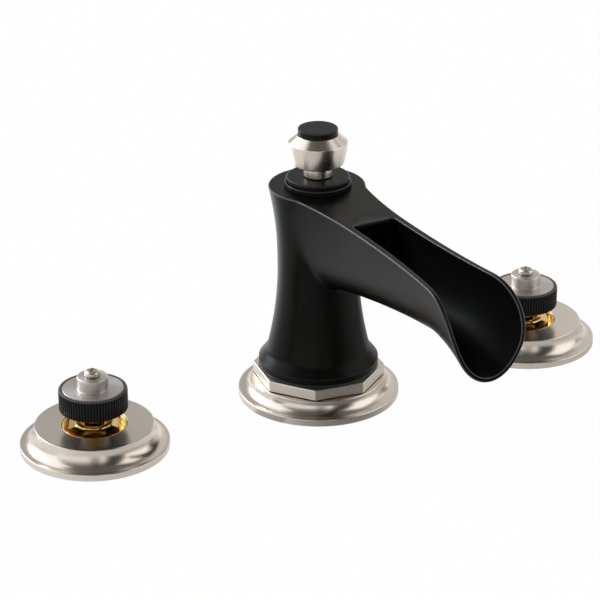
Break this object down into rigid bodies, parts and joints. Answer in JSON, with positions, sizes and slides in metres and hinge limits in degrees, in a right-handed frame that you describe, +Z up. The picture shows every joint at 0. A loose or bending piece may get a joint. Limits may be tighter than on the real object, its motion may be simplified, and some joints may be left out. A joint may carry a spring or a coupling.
{
  "type": "widespread bathroom faucet",
  "caption": "Deck-mounted basin tap set: open-channel spout on a turned column with a lift knob, and a separate valve end on each side, ready for handles.",
  "frame": {"origin": "centre of the spout on top of the counter", "axes": "+Z up along the column, -Y along the spout to its mouth, +X to the cold valve"},
  "size_m": [0.263, 0.1631, 0.2288],
  "materials": {
    "satin_black": "satin black coating",
    "brushed_nickel": "brushed nickel plate, turned marks",
    "brass": "polished brass",
    "steel": "plain steel",
    "rubber": "black moulded rubber",
    "ceramic": "lapped ceramic, off-white"
  },
  "bodies": {
    "deck_set": {"spout_body": "satin_black", "spout_collar": "satin_black", "spout_flange": "brushed_nickel", "octagon_ring": "brushed_nickel", "spout_shank": "brass", "spout_deck_nut": "brass", "spout_tee": "brass", "rod_guide_tube": "brass", "spout_steel_washer": "steel", "spout_gasket": "rubber", "spout_rubber_washer": "rubber", "upper_tube_seal": "rubber", "lower_tube_seal": "rubber", "left_flange": "brushed_nickel", "left_bonnet_nut": "brass", "left_valve_body": "brass", "left_upper_nut": "brass", "left_deck_nut": "brass", "left_cartridge_sleeve": "brass", "left_steel_washer": "steel", "left_gasket": "rubber", "left_rubber_washer": "rubber", "left_seat_seal": "rubber", "left_fixed_disc": "ceramic", "right_flange": "brushed_nickel", "right_bonnet_nut": "brass", "right_valve_body": "brass", "right_upper_nut": "brass", "right_deck_nut": "brass", "right_cartridge_sleeve": "brass", "right_steel_washer": "steel", "right_gasket": "rubber", "right_rubber_washer": "rubber", "right_seat_seal": "rubber", "right_fixed_disc": "ceramic"},
    "left_stem_group": {"left_stem": "brass", "left_turning_disc": "ceramic", "left_stem_seal": "rubber", "left_hub": "brushed_nickel", "left_fluted_ring": "satin_black", "left_hub_screw": "steel"},
    "right_stem_group": {"right_stem": "brass", "right_turning_disc": "ceramic", "right_stem_seal": "rubber", "right_hub": "brushed_nickel", "right_fluted_ring": "satin_black", "right_hub_screw": "steel"},
    "lift_group": {"lift_rod": "steel", "lift_knob": "brushed_nickel", "lift_knob_cap": "satin_black"}
  },
  "joints": [
    {"name": "left_valve_turn", "type": "hinge", "parent": "deck_set", "child": "left_stem_group", "pos_m": [-0.1016, 0, 0], "axis": [0, 0, 1], "range_deg": [0, 90]},
    {"name": "right_valve_turn", "type": "hinge", "parent": "deck_set", "child": "right_stem_group", "pos_m": [0.1016, 0, 0], "axis": [0, 0, 1], "range_deg": [-90, 0]},
    {"name": "lift_rod_slide", "type": "slide", "parent": "deck_set", "child": "lift_group", "axis": [0, 0, 1], "range_m": [0, 0.032]}
  ]
}
